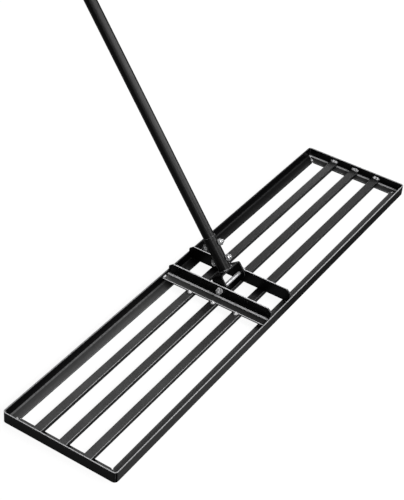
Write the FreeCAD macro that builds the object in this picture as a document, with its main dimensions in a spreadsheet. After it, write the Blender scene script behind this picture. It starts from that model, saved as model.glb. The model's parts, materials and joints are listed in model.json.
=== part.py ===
import FreeCAD, Part
import math
import operator
import os
import Sketcher

# Lawn leveling rake: a flat frame of angle section that lies on the ground, with three bars and two
# cross angles in it, and a long handle whose yoke swings on one bolt between the cross angles.
# X runs along the long side of the frame, +Y to the side that the handle leans to, +Z up.
# The origin is on the ground, in the middle of the frame.

document = FreeCAD.newDocument("lawn_leveling_rake")
sheet = document.addObject("Spreadsheet::Sheet", "Dimensions")
OPERATIONS = {"+": operator.add, "-": operator.sub, "*": operator.mul, "/": operator.truediv}
X_AXIS = FreeCAD.Vector(1, 0, 0)
Y_AXIS = FreeCAD.Vector(0, 1, 0)
SAME_PLACE = 0.001


class Size:
    """A value together with the expression that works it out from the sheet."""

    def __init__(self, text, value):
        self.text = text
        self.value = value

    def __add__(self, other):
        return joined(self, "+", other)

    def __sub__(self, other):
        return joined(self, "-", other)

    def __mul__(self, other):
        return joined(self, "*", other)

    def __truediv__(self, other):
        return joined(self, "/", other)

    def __neg__(self):
        return joined(-1, "*", self)


def as_size(number):
    """A count, a share or a zero in the form of a size."""
    return number if isinstance(number, Size) else Size(repr(number), number)


def joined(left, sign, right):
    left = as_size(left)
    right = as_size(right)
    value = OPERATIONS[sign](left.value, right.value)
    return Size(f"({left.text} {sign} {right.text})", value)


def dimension(name, value, note):
    """A driving dimension: one row of the sheet with a note, a plain number and its name."""
    row = len(sheet.getUsedCells()) // 2 + 1
    sheet.set(f"A{row}", note)
    sheet.set(f"B{row}", str(value))
    sheet.setAlias(f"B{row}", name)
    return Size(f"Dimensions.{name}", value)


# Frame
frame_length = dimension("frame_length", 1143.0, "long side of the frame, 45 inches")
frame_depth = dimension("frame_depth", 254.0, "short side of the frame, 10 inches")
rail_leg = dimension("rail_leg", 24.0, "leg of the frame's angle section")
rail_wall = dimension("rail_wall", 3.0, "thickness of the frame's angle section")
corner_radius = dimension("corner_radius", 8.0, "outer radius of the frame's upright corners")
corner_relief = dimension("corner_relief", 4.0, "diameter of the relief where two flanges meet")
root_radius = dimension("root_radius", 4.0, "inner radius between the legs of an angle section")
toe_radius = dimension("toe_radius", 1.5, "inner radius at the free edge of a leg")
edge_radius = dimension("edge_radius", 0.6, "small rounding of rolled outer edges")

# Bars
bar_count = 3
bar_width = dimension("bar_width", 18.0, "width of a bar")
bar_height = dimension("bar_height", 10.0, "height of a bar")
bar_radius = dimension("bar_radius", 0.8, "rounding of a bar's long edges")

# Yoke
pivot_offset = dimension("pivot_offset", 3.4, "from the frame's middle forward to the pivot")
yoke_width = dimension("yoke_width", 70.2, "width over both ears")
strap_width = dimension("strap_width", 28.0, "width of the strap, and diameter of the round ears")
strap_thickness = dimension("strap_thickness", 3.0, "thickness of the strap")
bend_radius = dimension("bend_radius", 4.0, "inner radius of the yoke's bends")
web_reach = dimension("web_reach", 27.0, "from the pivot to the web's outer face")
ear_clearance = dimension("ear_clearance", 7.0, "from the ears down to the bars")
side_play = dimension("side_play", 0.3, "from an ear to the thrust washer beside it")

# Pivot fasteners and the fasteners of the socket
bolt_diameter = dimension("bolt_diameter", 8.0, "pivot bolt and socket bolts")
bolt_flats = dimension("bolt_flats", 13.0, "across flats of their heads and nuts")
bolt_head = dimension("bolt_head", 5.3, "height of a head")
nut_height = dimension("nut_height", 6.8, "height of a nut")
bolt_tip = dimension("bolt_tip", 4.2, "thread that stands out of a nut")
washer_diameter = dimension("washer_diameter", 16.0, "outer diameter of a washer")
washer_thickness = dimension("washer_thickness", 1.6, "thickness of a washer")
hole_play = dimension("hole_play", 0.2, "radial play of a bolt in a plain hole")
pivot_play = dimension("pivot_play", 0.08, "radial running clearance of the ears on the pivot bolt")
thread_play = dimension("thread_play", 0.05, "radial gap between a nut and its bolt")

# Cross angles
cross_leg = dimension("cross_leg", 30.0, "height of the upright leg")
cross_flange = dimension("cross_flange", 25.0, "width of the lying leg")
cross_wall = dimension("cross_wall", 3.0, "thickness of the cross angles")
clip_length = dimension("clip_length", 10.0, "length of a clipped top corner")
clip_drop = dimension("clip_drop", 8.0, "drop of a clipped top corner")

# Handle
rest_angle = dimension("rest_angle", 53.5, "angle of the handle above the ground, in degrees")
handle_length = dimension("handle_length", 1752.6, "from the pivot to the end of the grip, 69 inches")
handle_diameter = dimension("handle_diameter", 24.7, "outer diameter of the handle tubes")
handle_wall = dimension("handle_wall", 1.2, "wall of the handle tubes")
lower_tube_length = dimension("lower_tube_length", 863.6, "length of the lower handle tube")
socket_play = dimension("socket_play", 0.15, "radial play of the handle in its socket")
socket_wall = dimension("socket_wall", 1.2, "wall of the socket tube")
socket_length = dimension("socket_length", 77.0, "length of the socket tube")
socket_rim = dimension("socket_rim", 0.4, "chamfer of the socket's rim")
first_bolt_height = dimension("first_bolt_height", 21.2, "from the web to the first socket bolt")
socket_bolt_pitch = dimension("socket_bolt_pitch", 36.6, "from one socket bolt to the other")
tube_turn = dimension("tube_turn", 24.0, "turn of the cross bolts about the handle, in degrees")

# Joint of the two handle tubes
sleeve_length = dimension("sleeve_length", 120.0, "length of the joint sleeve")
sleeve_play = dimension("sleeve_play", 0.1, "radial play of the sleeve in the tubes")
sleeve_wall = dimension("sleeve_wall", 1.5, "wall of the joint sleeve")
joint_bolt_offset = dimension("joint_bolt_offset", 30.0, "from the joint to a joint bolt")
joint_bolt_diameter = dimension("joint_bolt_diameter", 6.0, "joint bolts")
joint_bolt_flats = dimension("joint_bolt_flats", 10.0, "across flats of their heads and nuts")
joint_bolt_head = dimension("joint_bolt_head", 4.0, "height of a joint bolt's head")
joint_nut_height = dimension("joint_nut_height", 5.0, "height of a joint nut")
joint_bolt_tip = dimension("joint_bolt_tip", 3.0, "thread that stands out of a joint nut")

# Hand grip
grip_length = dimension("grip_length", 120.0, "length of the hand grip")
grip_diameter = dimension("grip_diameter", 31.0, "outer diameter of the hand grip")
grip_collar_diameter = dimension("grip_collar_diameter", 37.0, "collar at the grip's lower end")
grip_collar_length = dimension("grip_collar_length", 5.0, "length of the collar")
grip_cap = dimension("grip_cap", 4.0, "thickness of the grip's closed end")
grip_end_chamfer = dimension("grip_end_chamfer", 2.0, "chamfer of the closed end")
grip_collar_chamfer = dimension("grip_collar_chamfer", 1.2, "chamfer of the collar")
grip_play = dimension("grip_play", 0.05, "radial gap between the grip and the tube")

overrun = dimension("overrun", 1.0, "how far a cut runs past what it cuts")

# Places that several pieces share
half_length = frame_length / 2
half_depth = frame_depth / 2
bar_top = rail_wall + bar_height
ear_radius = strap_width / 2
pivot_height = bar_top + ear_clearance + ear_radius
pivot_y = -pivot_offset
yoke_half = yoke_width / 2
cross_inner = yoke_half + side_play + washer_thickness
cross_outer = cross_inner + cross_wall
socket_outer = handle_diameter + (socket_play + socket_wall) * 2
socket_bolt_heights = [web_reach + first_bolt_height + socket_bolt_pitch * step for step in range(2)]
joint_height = web_reach + lower_tube_length
joint_bolt_heights = [joint_height - joint_bolt_offset, joint_height + joint_bolt_offset]
hole_diameter = bolt_diameter + hole_play * 2
joint_hole_diameter = joint_bolt_diameter + hole_play * 2

sub_parts = []


def bind(item, **sizes):
    """Ties properties of an object to sizes."""
    for name, size in sizes.items():
        item.setExpression(name, as_size(size).text)


def seat(item, x=0, y=0, z=0, turn=None):
    """Places an object, turned first by a fixed rotation."""
    item.Placement = FreeCAD.Placement(FreeCAD.Vector(), turn or FreeCAD.Rotation())
    for letter, size in (("x", x), ("y", y), ("z", z)):
        item.setExpression(f"Placement.Base.{letter}", as_size(size).text)


def lean(item, turn=0):
    """Stands a piece of the handle on the pivot, turned about its own axis, leaning at the rest angle."""
    place = f"vector(0; {pivot_y.text}; {pivot_height.text})"
    tilt = f"rotation(vector(1; 0; 0); {(rest_angle - 90).text})"
    about = f"rotation(vector(0; 0; 1); {as_size(turn).text})"
    item.setExpression("Placement", f"placement({place}; {tilt} * {about})")


def keep(item, name):
    """Marks an object as one of the rake's own pieces and gives it its name."""
    item.Label = name
    sub_parts.append(item)


def new_body(name):
    return document.addObject("PartDesign::Body", name)


def sketch_on(body, role, name, height=0):
    """A sketch on one of the body's own planes, raised by a height."""
    sketch = body.newObject("Sketcher::SketchObject", name)
    plane = [feature for feature in body.Origin.OriginFeatures if feature.Role == role][0]
    sketch.AttachmentSupport = (plane, [""])
    sketch.MapMode = "FlatFace"
    sketch.setExpression("AttachmentOffset.Base.z", as_size(height).text)
    return sketch


def constrain(sketch, kind, places, size):
    size = as_size(size)
    index = sketch.addConstraint(Sketcher.Constraint(kind, *places, size.value))
    sketch.setExpression(f"Constraints[{index}]", size.text)


def pin_point(sketch, curve, end, x, y):
    """Holds one end of a curve at a place measured from the sketch's origin."""
    constrain(sketch, "DistanceX", (-1, 1, curve, end), x)
    constrain(sketch, "DistanceY", (-1, 1, curve, end), y)


def outline(sketch, corners):
    """A closed outline of straight sides through the corners."""
    first = sketch.GeometryCount
    count = len(corners)
    places = [FreeCAD.Vector(as_size(x).value, as_size(y).value, 0) for x, y in corners]
    for side in range(count):
        sketch.addGeometry(Part.LineSegment(places[side], places[(side + 1) % count]), False)
    for side in range(count):
        following = first + (side + 1) % count
        sketch.addConstraint(Sketcher.Constraint("Coincident", first + side, 2, following, 1))
    for side, (x, y) in enumerate(corners):
        pin_point(sketch, first + side, 1, x, y)


def rectangle(sketch, width, depth):
    """A rectangle about the sketch's origin."""
    right = as_size(width) / 2
    top = as_size(depth) / 2
    outline(sketch, [(-right, -top), (right, -top), (right, top), (-right, top)])


def circle(sketch, x, y, diameter):
    place = FreeCAD.Vector(as_size(x).value, as_size(y).value, 0)
    curve = sketch.addGeometry(Part.Circle(place, FreeCAD.Vector(0, 0, 1), diameter.value / 2), False)
    pin_point(sketch, curve, 3, x, y)
    constrain(sketch, "Diameter", (curve,), diameter)


def pad(body, sketch, length, sides="One side"):
    feature = body.newObject("PartDesign::Pad", f"{sketch.Name}_pad")
    feature.Profile = sketch
    feature.SideType = sides
    bind(feature, Length=length)
    return feature


def pocket_through(body, sketch):
    """Cuts a sketch through the whole body, both ways."""
    feature = body.newObject("PartDesign::Pocket", f"{sketch.Name}_pocket")
    feature.Profile = sketch
    feature.SideType = "Symmetric"
    feature.Type = "ThroughAll"
    return feature


def revolve(body, sketch):
    """Turns a sketch once about its own upright axis."""
    feature = body.newObject("PartDesign::Revolution", f"{sketch.Name}_turned")
    feature.Profile = sketch
    feature.ReferenceAxis = (sketch, ["V_Axis"])
    feature.Angle = 360
    return feature


def dress(body, kind, chosen, **size):
    """Adds a fillet or chamfer on the edges of the body's last feature that the test accepts."""
    document.recompute()
    base = body.Tip
    names = [f"Edge{number}" for number, edge in enumerate(base.Shape.Edges, 1) if chosen(edge)]
    feature = body.newObject(f"PartDesign::{kind}", f"{body.Name}_{kind.lower()}")
    feature.Base = (base, names)
    bind(feature, **size)


def fillet(body, radius, chosen):
    dress(body, "Fillet", chosen, Radius=radius)


def chamfer(body, width, chosen):
    dress(body, "Chamfer", chosen, Size=width)


def same(value, size):
    return abs(value - as_size(size).value) < SAME_PLACE


def runs_along(edge, axis):
    """Whether a straight edge runs along one axis of its body."""
    spans = {"x": edge.BoundBox.XLength, "y": edge.BoundBox.YLength, "z": edge.BoundBox.ZLength}
    return spans.pop(axis) > SAME_PLACE and max(spans.values()) < SAME_PLACE


def at_height(edge, height):
    """Whether a whole edge lies at one height."""
    return same(edge.BoundBox.ZMin, height) and same(edge.BoundBox.ZMax, height)


def frame_ring():
    """The four rails as one ring: an upright wall outside and a flange that turns in below."""
    ring = new_body("frame_ring")
    wall = sketch_on(ring, "XY_Plane", "ring_wall")
    rectangle(wall, frame_length, frame_depth)
    rectangle(wall, frame_length - rail_wall * 2, frame_depth - rail_wall * 2)
    pad(ring, wall, rail_leg)
    flange = sketch_on(ring, "XY_Plane", "ring_flange")
    rectangle(flange, frame_length, frame_depth)
    rectangle(flange, frame_length - rail_leg * 2, frame_depth - rail_leg * 2)
    pad(ring, flange, rail_wall)

    def upright_edge(edge, x):
        return runs_along(edge, "z") and same(abs(edge.CenterOfMass.x), x)

    inner = half_length - rail_wall
    fillet(ring, corner_radius, lambda edge: upright_edge(edge, half_length))
    fillet(ring, corner_radius - rail_wall, lambda edge: upright_edge(edge, inner))
    flange_edge = half_depth - rail_leg

    def in_wall_loop(edge, height):
        outside = abs(edge.CenterOfMass.y) > flange_edge.value + SAME_PLACE
        beyond = abs(edge.CenterOfMass.x) > (half_length - rail_leg).value + SAME_PLACE
        return at_height(edge, height) and (outside or beyond)

    def on_inner_loop(edge):
        box = edge.BoundBox
        return max(abs(box.XMin), abs(box.XMax)) < inner.value + SAME_PLACE and (
            max(abs(box.YMin), abs(box.YMax)) < (half_depth - rail_wall).value + SAME_PLACE
        )

    fillet(ring, root_radius, lambda edge: in_wall_loop(edge, rail_wall) and on_inner_loop(edge))
    fillet(ring, toe_radius, lambda edge: in_wall_loop(edge, rail_leg) and on_inner_loop(edge))
    fillet(ring, edge_radius, lambda edge: in_wall_loop(edge, rail_leg) and not on_inner_loop(edge))
    relief = sketch_on(ring, "XY_Plane", "flange_reliefs")
    for x in (-(half_length - rail_leg), half_length - rail_leg):
        for y in (-flange_edge, flange_edge):
            circle(relief, x, y, corner_relief)
    pocket_through(ring, relief)
    return ring


def rail(name, ring, side_length, side_reach, quarter_turns):
    """One rail: the ring's side that a wedge with mitred ends takes out of it."""
    wedge = document.addObject("Part::Wedge", f"{name}_wedge")
    half_side = side_length / 2
    bind(wedge, Xmin=-half_side, Xmax=half_side, Ymin=-side_reach, Ymax=rail_leg - side_reach)
    bind(wedge, X2min=rail_leg - half_side, X2max=half_side - rail_leg)
    bind(wedge, Zmin=-overrun, Zmax=rail_leg + overrun, Z2min=-overrun, Z2max=rail_leg + overrun)
    seat(wedge, turn=FreeCAD.Rotation(90 * quarter_turns, 0, 0))
    common = document.addObject("Part::Common", name)
    common.Base = ring
    common.Tool = wedge
    keep(common, name)


def bar(name, y):
    """A solid flat bar on the end rails' flanges, its ends chamfered below to clear the rails' roots."""
    body = new_body(name)
    section = sketch_on(body, "YZ_Plane", f"{name}_section")
    half = bar_width / 2
    outline(section, [(-half, 0), (half, 0), (half, bar_height), (-half, bar_height)])
    pad(body, section, frame_length - rail_wall * 2, "Symmetric")
    chamfer(body, root_radius, lambda edge: runs_along(edge, "y") and at_height(edge, 0))
    fillet(body, bar_radius, lambda edge: runs_along(edge, "x"))
    seat(body, y=y, z=rail_wall)
    keep(body, name)


def cross_angle(name, half_turns):
    """An angle that lies across the bars, its upright leg drilled for the pivot bolt."""
    body = new_body(name)
    section = sketch_on(body, "XZ_Plane", f"{name}_section")
    outer = cross_inner + cross_flange
    outline(section, [
        (cross_inner, 0),
        (outer, 0),
        (outer, cross_wall),
        (cross_outer, cross_wall),
        (cross_outer, cross_leg),
        (cross_inner, cross_leg),
    ])
    pad(body, section, frame_depth - rail_wall * 2, "Symmetric")

    def long_edge(edge, x, z):
        return runs_along(edge, "y") and same(edge.CenterOfMass.x, x) and same(edge.CenterOfMass.z, z)

    fillet(body, root_radius, lambda edge: long_edge(edge, cross_outer, cross_wall))
    fillet(body, toe_radius, lambda edge: long_edge(edge, outer, cross_wall))
    fillet(body, toe_radius, lambda edge: long_edge(edge, cross_outer, cross_leg))
    fillet(body, edge_radius, lambda edge: long_edge(edge, cross_inner, cross_leg))
    cuts = sketch_on(body, "YZ_Plane", f"{name}_cuts")
    end = half_depth - rail_wall
    for way in (-1, 1):
        outline(cuts, [
            ((end - clip_length) * way, cross_leg + overrun),
            ((end - clip_length) * way, cross_leg),
            (end * way, cross_leg - clip_drop),
            ((end + overrun) * way, cross_leg - clip_drop),
            ((end + overrun) * way, cross_leg + overrun),
        ])
    hole_y = -pivot_y if half_turns else pivot_y
    circle(cuts, hole_y, pivot_height - bar_top, hole_diameter)
    pocket_through(body, cuts)
    seat(body, z=bar_top, turn=FreeCAD.Rotation(180 * half_turns, 0, 0))
    keep(body, name)


def ear_ends(sketch):
    """What lies outside the round ends of both ears, up to the pivot's level."""
    reach = ear_radius + overrun
    half_circle = Part.ArcOfCircle(
        Part.Circle(FreeCAD.Vector(), FreeCAD.Vector(0, 0, 1), ear_radius.value), math.pi, 2 * math.pi
    )
    arc = sketch.addGeometry(half_circle, False)
    sketch.addConstraint(Sketcher.Constraint("Coincident", arc, 3, -1, 1))
    sketch.addConstraint(Sketcher.Constraint("PointOnObject", arc, 1, -1))
    sketch.addConstraint(Sketcher.Constraint("PointOnObject", arc, 2, -1))
    constrain(sketch, "Radius", (arc,), ear_radius)
    places = [(ear_radius, 0), (reach, 0), (reach, -reach), (-reach, -reach), (-reach, 0), (-ear_radius, 0)]
    points = [FreeCAD.Vector(as_size(x).value, as_size(y).value, 0) for x, y in places]
    sides = [sketch.addGeometry(Part.LineSegment(*pair), False) for pair in zip(points, points[1:])]
    for side, following in zip(sides, sides[1:]):
        sketch.addConstraint(Sketcher.Constraint("Coincident", side, 2, following, 1))
    sketch.addConstraint(Sketcher.Constraint("Coincident", arc, 2, sides[0], 1))
    sketch.addConstraint(Sketcher.Constraint("Coincident", sides[-1], 2, arc, 1))
    for side, (x, y) in zip(sides[1:], places[1:]):
        pin_point(sketch, side, 1, x, y)


def yoke():
    """A steel strap bent to a U whose round ears run on the pivot bolt."""
    body = new_body("yoke")
    strap = sketch_on(body, "XZ_Plane", "yoke_strap")
    inner_half = yoke_half - strap_thickness
    web_inner = web_reach - strap_thickness
    outline(strap, [
        (-yoke_half, -ear_radius),
        (-inner_half, -ear_radius),
        (-inner_half, web_inner),
        (inner_half, web_inner),
        (inner_half, -ear_radius),
        (yoke_half, -ear_radius),
        (yoke_half, web_reach),
        (-yoke_half, web_reach),
    ])
    pad(body, strap, strap_width, "Symmetric")
    outer_radius = bend_radius + strap_thickness
    fillet(body, bend_radius, lambda edge: runs_along(edge, "y") and at_height(edge, web_inner))
    fillet(body, outer_radius, lambda edge: runs_along(edge, "y") and at_height(edge, web_reach))
    ends = sketch_on(body, "YZ_Plane", "yoke_ear_ends")
    ear_ends(ends)
    pocket_through(body, ends)
    holes = sketch_on(body, "YZ_Plane", "yoke_pivot_holes")
    circle(holes, 0, 0, bolt_diameter + pivot_play * 2)
    pocket_through(body, holes)
    lean(body)
    keep(body, "yoke")


def tube(name, outer, wall, bottom, length, hole_heights, holes):
    """A round tube of the handle with holes across it."""
    body = new_body(name)
    ring = sketch_on(body, "XY_Plane", f"{name}_ring", bottom)
    circle(ring, 0, 0, outer)
    circle(ring, 0, 0, outer - wall * 2)
    pad(body, ring, length)
    cuts = sketch_on(body, "XZ_Plane", f"{name}_holes")
    for height in hole_heights:
        circle(cuts, 0, height, holes)
    pocket_through(body, cuts)
    lean(body, tube_turn)
    keep(body, name)
    return body


def socket_tube():
    """The socket tube on the yoke's web, its rim chamfered."""
    body = tube(
        "socket_tube",
        socket_outer,
        socket_wall,
        web_reach,
        socket_length,
        socket_bolt_heights,
        hole_diameter,
    )
    chamfer(body, socket_rim, lambda edge: at_height(edge, web_reach + socket_length))


def handle_tubes():
    """Two tubes end to end and the sleeve that joins them inside."""
    tube_end = handle_length - grip_cap
    low_hole, high_hole = joint_bolt_heights
    lower = tube(
        "lower_handle_tube",
        handle_diameter,
        handle_wall,
        web_reach,
        lower_tube_length,
        socket_bolt_heights,
        hole_diameter,
    )
    joint_hole = sketch_on(lower, "XZ_Plane", "lower_joint_hole")
    circle(joint_hole, 0, low_hole, joint_hole_diameter)
    pocket_through(lower, joint_hole)
    tube(
        "upper_handle_tube",
        handle_diameter,
        handle_wall,
        joint_height,
        tube_end - joint_height,
        [high_hole],
        joint_hole_diameter,
    )
    tube(
        "joint_sleeve",
        handle_diameter - (handle_wall + sleeve_play) * 2,
        sleeve_wall,
        joint_height - sleeve_length / 2,
        sleeve_length,
        joint_bolt_heights,
        joint_hole_diameter,
    )


def hand_grip():
    """A soft sleeve over the end of the handle, closed at the top, with a collar at its lower end."""
    body = new_body("hand_grip")
    bottom = handle_length - grip_length
    bore = handle_diameter / 2 + grip_play
    collar = grip_collar_diameter / 2
    outside = grip_diameter / 2
    half = sketch_on(body, "XZ_Plane", "grip_half")
    outline(half, [
        (bore, bottom),
        (collar, bottom),
        (collar, bottom + grip_collar_length),
        (outside, bottom + grip_collar_length),
        (outside, handle_length),
        (0, handle_length),
        (0, handle_length - grip_cap),
        (bore, handle_length - grip_cap),
    ])
    revolve(body, half)

    def rim(edge, diameter):
        return same(edge.BoundBox.XLength, diameter) and same(edge.BoundBox.ZLength, 0)

    chamfer(body, grip_end_chamfer, lambda edge: rim(edge, grip_diameter) and at_height(edge, handle_length))
    chamfer(body, grip_collar_chamfer, lambda edge: rim(edge, grip_collar_diameter))
    lean(body)
    keep(body, "hand_grip")


def cylinder(name, diameter, height):
    item = document.addObject("Part::Cylinder", name)
    bind(item, Radius=diameter / 2, Height=height)
    return item


def hexagon(name, across_flats, height):
    item = document.addObject("Part::Prism", name)
    item.Polygon = 6
    bind(item, Circumradius=across_flats / math.sqrt(3), Height=height)
    return item


def boolean(kind, name, base, tool):
    item = document.addObject(kind, name)
    item.Base = base
    item.Tool = tool
    return item


def bolt(name, diameter, across_flats, head, length):
    """A hex bolt that points up, its head below the plane that it bears on."""
    top = hexagon(f"{name}_head", across_flats, head)
    seat(top, z=-head)
    return boolean("Part::Fuse", name, top, cylinder(f"{name}_shank", diameter, length))


def nut(name, diameter, across_flats, height):
    body = hexagon(f"{name}_hexagon", across_flats, height)
    return boolean("Part::Cut", name, body, cylinder(f"{name}_bore", diameter + thread_play * 2, height))


def washer(name):
    disc = cylinder(f"{name}_disc", washer_diameter, washer_thickness)
    return boolean("Part::Cut", name, disc, cylinder(f"{name}_hole", hole_diameter, washer_thickness))


def group(name, items):
    """Like pieces that share one name."""
    item = document.addObject("Part::Compound", name)
    item.Links = items
    keep(item, name)
    return item


def pivot_fasteners():
    """The pivot bolt with its head on the right, its nut on the left and a washer under each."""
    bearing = cross_outer + washer_thickness
    along = FreeCAD.Rotation(Y_AXIS, 90)
    back = FreeCAD.Rotation(Y_AXIS, -90)
    length = bearing * 2 + nut_height + bolt_tip
    pivot_bolt = bolt("pivot_bolt", bolt_diameter, bolt_flats, bolt_head, length)
    seat(pivot_bolt, x=bearing, y=pivot_y, z=pivot_height, turn=back)
    keep(pivot_bolt, "pivot_bolt")
    pivot_nut = nut("pivot_nut", bolt_diameter, bolt_flats, nut_height)
    seat(pivot_nut, x=-bearing, y=pivot_y, z=pivot_height, turn=back)
    keep(pivot_nut, "pivot_nut")
    for name, face in (("outer_washer", cross_outer), ("thrust_washer", cross_inner - washer_thickness)):
        pair = [washer(f"{name}_{way}") for way in ("left", "right")]
        seat(pair[0], x=-face, y=pivot_y, z=pivot_height, turn=back)
        seat(pair[1], x=face, y=pivot_y, z=pivot_height, turn=along)
        group(f"{name}s", pair)


def cross_bolts(name, heights, diameter, across_flats, head, nut_size, tip, tube_diameter):
    """Bolts through a tube of the handle, heads on its back and nuts on its front."""
    forward = FreeCAD.Rotation(X_AXIS, 90)
    bolts = []
    nuts = []
    for number, height in enumerate(heights, 1):
        one_bolt = bolt(f"{name}_bolt_{number}", diameter, across_flats, head, tube_diameter + nut_size + tip)
        seat(one_bolt, y=tube_diameter / 2, z=height, turn=forward)
        bolts.append(one_bolt)
        one_nut = nut(f"{name}_nut_{number}", diameter, across_flats, nut_size)
        seat(one_nut, y=-tube_diameter / 2, z=height, turn=forward)
        nuts.append(one_nut)
    lean(group(f"{name}_bolts", bolts), tube_turn)
    lean(group(f"{name}_nuts", nuts), tube_turn)


def build():
    ring = frame_ring()
    rail("front_rail", ring, frame_length, half_depth, 0)
    rail("right_end_rail", ring, frame_depth, half_length, 1)
    rail("rear_rail", ring, frame_length, half_depth, 2)
    rail("left_end_rail", ring, frame_depth, half_length, 3)
    gap = (frame_depth - rail_leg * 2 - bar_width * bar_count) / (bar_count + 1)
    for step, name in enumerate(("front_bar", "middle_bar", "rear_bar")):
        bar(name, (gap + bar_width) * (step - (bar_count - 1) / 2))
    cross_angle("right_cross_angle", 0)
    cross_angle("left_cross_angle", 1)
    pivot_fasteners()
    yoke()
    socket_tube()
    cross_bolts(
        "socket",
        socket_bolt_heights,
        bolt_diameter,
        bolt_flats,
        bolt_head,
        nut_height,
        bolt_tip,
        socket_outer,
    )
    handle_tubes()
    cross_bolts(
        "joint",
        joint_bolt_heights,
        joint_bolt_diameter,
        joint_bolt_flats,
        joint_bolt_head,
        joint_nut_height,
        joint_bolt_tip,
        handle_diameter,
    )
    hand_grip()


def check():
    """Stops if any object failed or any piece has no sound shape."""
    for item in document.Objects:
        if "Invalid" in item.State or "Error" in item.State:
            raise RuntimeError(f"{item.Label} failed: {item.State}")
    for item in sub_parts:
        if item.Shape.isNull() or not item.Shape.isValid() or not item.Shape.Solids:
            raise RuntimeError(f"{item.Label} has no valid solid")


def export():
    os.makedirs("parts", exist_ok=True)
    for item in sub_parts:
        item.Shape.exportStep(f"parts/{item.Label}.step")
        solids = len(item.Shape.Solids)
        print(f"{item.Label}: solids {solids}, volume {item.Shape.Volume:.1f}, faces {len(item.Shape.Faces)}")


build()
document.recompute()
check()
export()
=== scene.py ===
import json
import math

import bpy
import numpy as np
from mathutils import Matrix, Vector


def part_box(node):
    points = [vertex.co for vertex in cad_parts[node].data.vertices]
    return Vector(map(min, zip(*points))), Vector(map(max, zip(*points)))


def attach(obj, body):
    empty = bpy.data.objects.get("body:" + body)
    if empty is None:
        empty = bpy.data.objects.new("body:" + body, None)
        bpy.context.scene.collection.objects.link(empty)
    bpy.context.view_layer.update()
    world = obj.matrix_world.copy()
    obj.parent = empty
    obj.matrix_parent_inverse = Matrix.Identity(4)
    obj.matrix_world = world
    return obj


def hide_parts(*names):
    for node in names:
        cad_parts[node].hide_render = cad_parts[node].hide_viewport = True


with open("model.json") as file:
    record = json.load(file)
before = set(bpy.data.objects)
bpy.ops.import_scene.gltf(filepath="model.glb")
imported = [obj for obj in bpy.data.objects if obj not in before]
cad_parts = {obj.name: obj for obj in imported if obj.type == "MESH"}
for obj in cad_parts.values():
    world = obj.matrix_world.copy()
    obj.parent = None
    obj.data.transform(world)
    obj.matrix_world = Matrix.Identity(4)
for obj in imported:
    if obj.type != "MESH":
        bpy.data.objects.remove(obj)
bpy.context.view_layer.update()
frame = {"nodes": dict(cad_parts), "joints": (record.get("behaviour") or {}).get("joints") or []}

# Lawn leveling rake. X runs along the long side of the frame, +Y to the side that the handle leans to, +Z up.
# The origin is on the ground, in the middle of the frame. Lengths are in metres.

UP = (0, 0, 1)

# Sizes of the frame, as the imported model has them
HALF_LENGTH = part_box("right_end_rail")[1].x
HALF_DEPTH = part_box("rear_rail")[1].y
RAIL_WALL = 0.003
RAIL_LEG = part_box("front_rail")[1].z
BARS = ("front_bar", "middle_bar", "rear_bar")
BAR_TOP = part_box("middle_bar")[1].z
BAR_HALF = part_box("middle_bar")[1].y
BAR_MIDDLES = [(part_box(bar)[0].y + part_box(bar)[1].y) / 2 for bar in BARS]
CROSS_WALL = 0.003
CROSS_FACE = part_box("right_cross_angle")[0].x
CROSS_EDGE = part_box("right_cross_angle")[1].x
CROSS_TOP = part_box("right_cross_angle")[1].z

# Sizes of the handle, along its own axis from the pivot
PIVOT = np.array(frame["joints"][0]["pos_m"], float)
REST_ANGLE = math.radians(53.5)
WEB_REACH = 0.027
SOCKET_RADIUS = 0.0137
SOCKET_RIM = 0.104
TUBE_RADIUS = 0.01235
SOCKET_BOLTS = (0.0482, 0.0848)
JOINT_BOLTS = (0.8606, 0.9206)
BOLT_TURN = math.radians(24)
HANDLE_LENGTH = 1.7526

# The hand grip, its heights counted from its lower end
GRIP_LENGTH = 0.12
GRIP_RADIUS = 0.0155
GRIP_BORE = 0.0124
GRIP_CAP = 0.004
GRIP_TIP_RADIUS = 0.004
GRIP_DOME = 0.0045
COLLAR_RADIUS = 0.0185
COLLAR_LENGTH = 0.005
COLLAR_ROUNDING = 0.0012
RIB_PITCH = 0.006
RIB_START = 0.012
RIBS_FADE_IN = (0.010, 0.013)
RIBS_FADE_OUT = (0.104, 0.107)
GROOVE_EDGE_SHARES = (0.62, 0.80)
GROOVE_DEPTH = 0.0009
FLUTE_DEPTH = 0.00035
FLUTES = 18
GRIP_ROWS, GRIP_SIDES = 420, 72

# Fasteners
BOLT = dict(radius=0.004, flats=0.013, head=0.0053, nut=0.0068, tip=0.0042, pitch=0.00125)
JOINT_BOLT = dict(radius=0.003, flats=0.010, head=0.004, nut=0.005, tip=0.003, pitch=0.001)
WASHER = 0.0016
NUT_PLAY = 5e-5
PIVOT_THREAD = 0.012
HANDLE_THREAD = 0.002

# Chamfers start at a share of half the flats. The thread's rows are for each pitch, and its depth, its flanks
# and the length of its tip are shares of the pitch.
HEXAGON_SIDES, ROD_SIDES = 72, 36
CHAMFER_ANGLE = math.radians(30)
CHAMFER_SHARE = 0.96
CHAMFER_STEP_SHARES = np.array([0.0, 0.15, 0.4, 0.7, 1.0, 1.25])
FACE_MIDDLE_SHARE = 0.3
THREAD_ROWS = 7
THREAD_GAP = 1e-5
THREAD_DEPTH_SHARE = 0.6
THREAD_FLANK_SHARE = 0.42
TIP_DEPTH_SHARE = 1.15
TIP_LENGTH_SHARE = 0.9

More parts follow.
